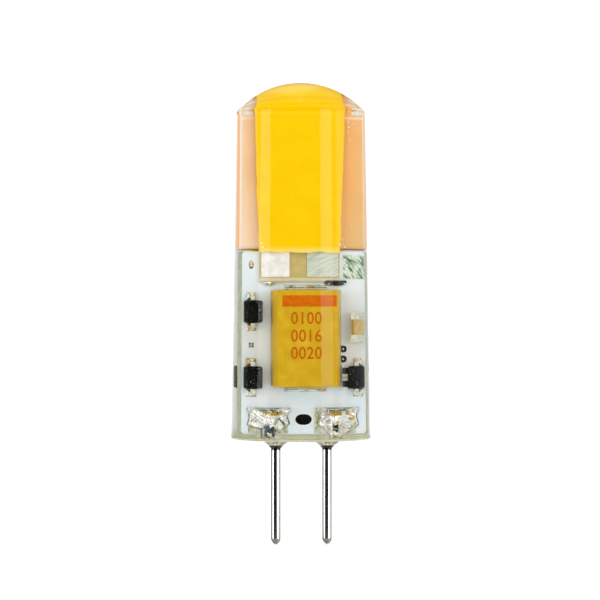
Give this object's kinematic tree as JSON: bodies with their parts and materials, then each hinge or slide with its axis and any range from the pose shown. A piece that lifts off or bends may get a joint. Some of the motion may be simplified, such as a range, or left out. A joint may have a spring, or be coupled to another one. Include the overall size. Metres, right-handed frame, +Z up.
{
  "type": "led capsule bulb",
  "caption": "Clear silicone capsule bulb with a folded yellow light strip above a driver board, on two contact pins.",
  "frame": {"origin": "middle of the capsule's flat underside, between the two contact pins", "axes": "+Z up along the capsule, towards its dome; the board's front, with the large capacitor, faces -Y; the pins stand apart along X"},
  "size_m": [0.011, 0.011, 0.036],
  "materials": {
    "clear_silicone": "glossy",
    "white_board": "satin",
    "peach_core": "satin",
    "tan_flex": "satin",
    "yellow_phosphor": "satin",
    "tin": "bright",
    "solder": "bright",
    "pin_metal": "polished",
    "tantalum_resin": "satin",
    "black_resin": "satin",
    "chip_ceramic": "satin"
  },
  "bodies": {
    "root": {"silicone_capsule": "clear_silicone", "main_board": "white_board", "led_core": "peach_core", "strip_substrate": "tan_flex", "phosphor_coating": "yellow_phosphor", "strip_contact_left": "tin", "strip_contact_right": "tin", "strip_solder_left": "solder", "strip_solder_right": "solder", "contact_pin_left": "pin_metal", "contact_pin_right": "pin_metal", "pin_pad_left": "tin", "pin_pad_right": "tin", "pin_solder_left": "solder", "pin_solder_right": "solder", "tantalum_body": "tantalum_resin", "tantalum_anode": "tin", "tantalum_cathode": "tin", "diode_1_body": "black_resin", "diode_1_upper_lead": "tin", "diode_1_lower_lead": "tin", "diode_2_body": "black_resin", "diode_2_upper_lead": "tin", "diode_2_lower_lead": "tin", "diode_3_body": "black_resin", "diode_3_upper_lead": "tin", "diode_3_lower_lead": "tin", "diode_4_body": "black_resin", "diode_4_upper_lead": "tin", "diode_4_lower_lead": "tin", "ceramic_capacitor_body": "chip_ceramic", "ceramic_capacitor_first_cap": "tin", "ceramic_capacitor_second_cap": "tin", "resistor_1_body": "black_resin", "resistor_1_first_cap": "tin", "resistor_1_second_cap": "tin", "resistor_2_body": "black_resin", "resistor_2_first_cap": "tin", "resistor_2_second_cap": "tin", "sense_resistor_body": "black_resin", "sense_resistor_first_cap": "tin", "sense_resistor_second_cap": "tin", "driver_body": "black_resin", "driver_lead_1": "tin", "driver_lead_2": "tin", "driver_lead_3": "tin", "driver_lead_4": "tin", "driver_lead_5": "tin", "test_pad": "tin"}
  },
  "joints": []
}
